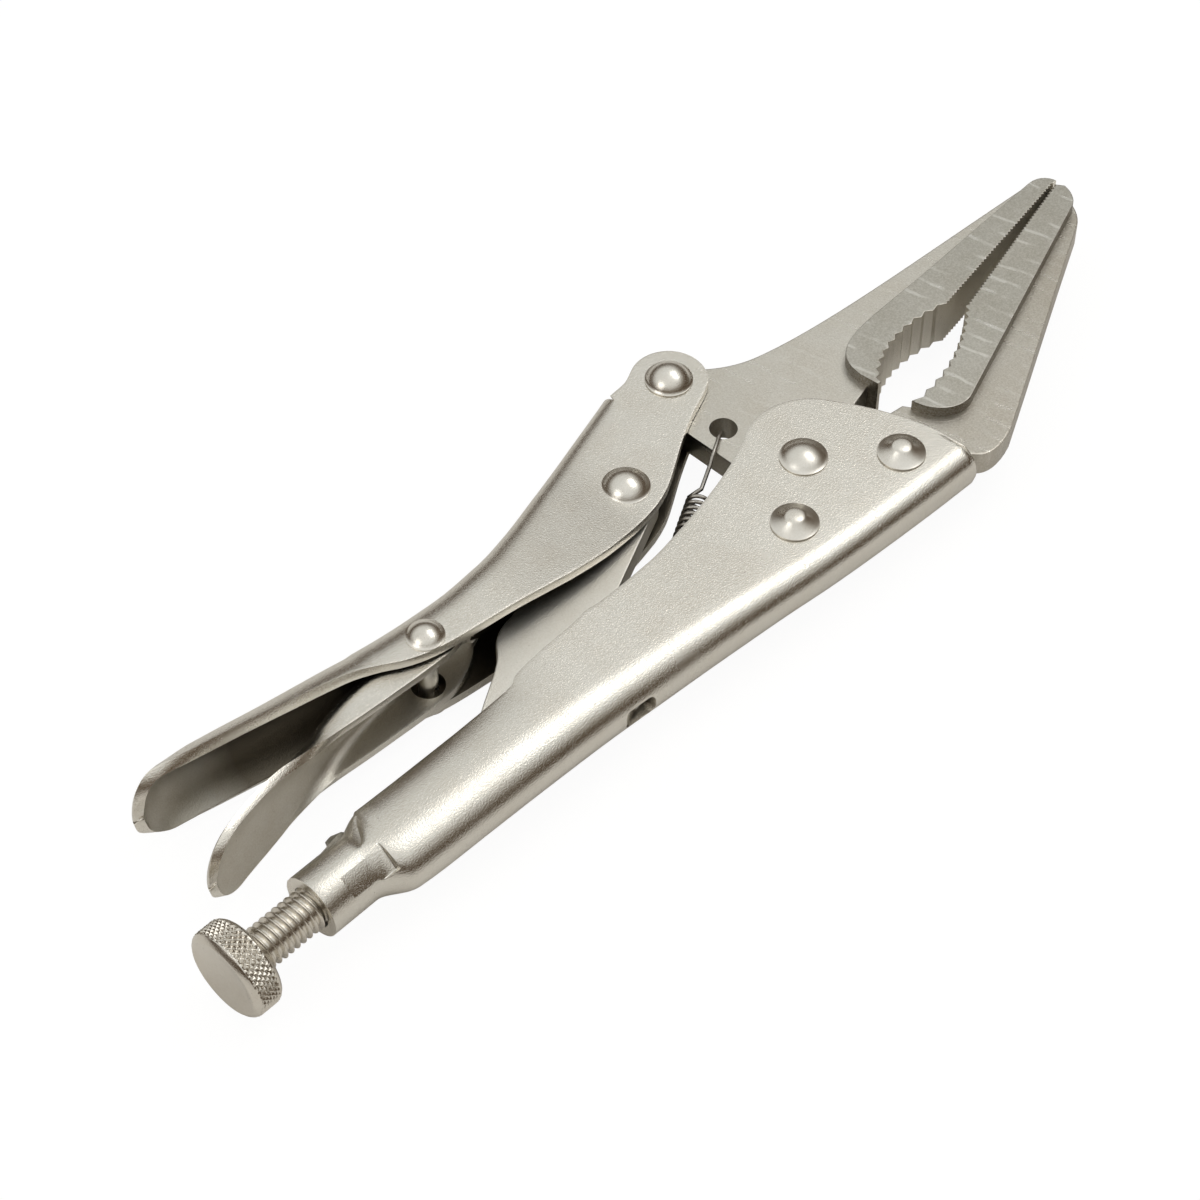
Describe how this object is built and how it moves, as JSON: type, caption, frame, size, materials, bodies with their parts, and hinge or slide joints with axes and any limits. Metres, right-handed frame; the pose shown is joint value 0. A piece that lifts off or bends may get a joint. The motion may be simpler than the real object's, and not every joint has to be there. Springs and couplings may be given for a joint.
{
  "type": "locking pliers",
  "caption": "Long-nose locking pliers with folded steel handles, toggle link, release lever, jaw spring and a knurled adjusting screw.",
  "frame": {"origin": "under the middle of the bounding box, on the plane the tool lies on", "axes": "+X runs along the tool from the adjusting screw to the jaw tips, +Y points to the lever handle's side and +Z is the direction of the jaw pivot"},
  "size_m": [0.1732, 0.0448, 0.0159],
  "materials": {
    "plated_sheet": "satin nickel plate over bead-blasted sheet",
    "jaw_steel": "satin plate over a forging",
    "bright_rivet": "bright plate",
    "screw_steel": "bright plate",
    "spring_wire": "dark spring steel"
  },
  "bodies": {
    "frame": {"fixed_handle": "plated_sheet", "fixed_jaw": "jaw_steel", "fixed_jaw_front_rivet": "bright_rivet", "fixed_jaw_rear_rivet": "bright_rivet", "jaw_pivot_rivet": "bright_rivet", "jaw_spring": "spring_wire"},
    "upper_jaw": {"moving_jaw": "jaw_steel"},
    "lever": {"lever_handle": "plated_sheet", "lever_jaw_rivet": "bright_rivet", "link_rivet": "bright_rivet", "release_lever_rivet": "bright_rivet"},
    "toggle": {"toggle_link": "plated_sheet"},
    "release": {"release_lever": "plated_sheet"},
    "screw": {"adjusting_screw": "screw_steel"}
  },
  "joints": [
    {"name": "jaw_pivot", "type": "hinge", "parent": "frame", "child": "upper_jaw", "pos_m": [0.02135, -0.00575, 0.00793], "axis": [0, 0, 1], "range_deg": [0, 20], "deforming": ["jaw_spring"]},
    {"name": "lever_pivot", "type": "hinge", "parent": "upper_jaw", "child": "lever", "pos_m": [0.01922, 0.01699, 0.00793], "axis": [0, 0, 1], "range_deg": [-66, 1]},
    {"name": "link_pivot", "type": "hinge", "parent": "lever", "child": "toggle", "pos_m": [0.00105, 0.0077, 0.00793], "axis": [0, 0, 1], "range_deg": [-1, 67]},
    {"name": "release_pivot", "type": "hinge", "parent": "lever", "child": "release", "pos_m": [-0.03671, 0.00685, 0.00793], "axis": [0, 0, -1], "range_deg": [0, 6]},
    {"name": "screw_turn", "type": "hinge", "parent": "frame", "child": "screw", "pos_m": [-0.07865, -0.00965, 0.00793], "axis": [1, 0, 0], "continuous": true}
  ],
  "couplings": [
    {"joint": "lever_pivot", "follows": "jaw_pivot", "ratio": -3.227},
    {"joint": "link_pivot", "follows": "jaw_pivot", "ratio": 3.282}
  ]
}
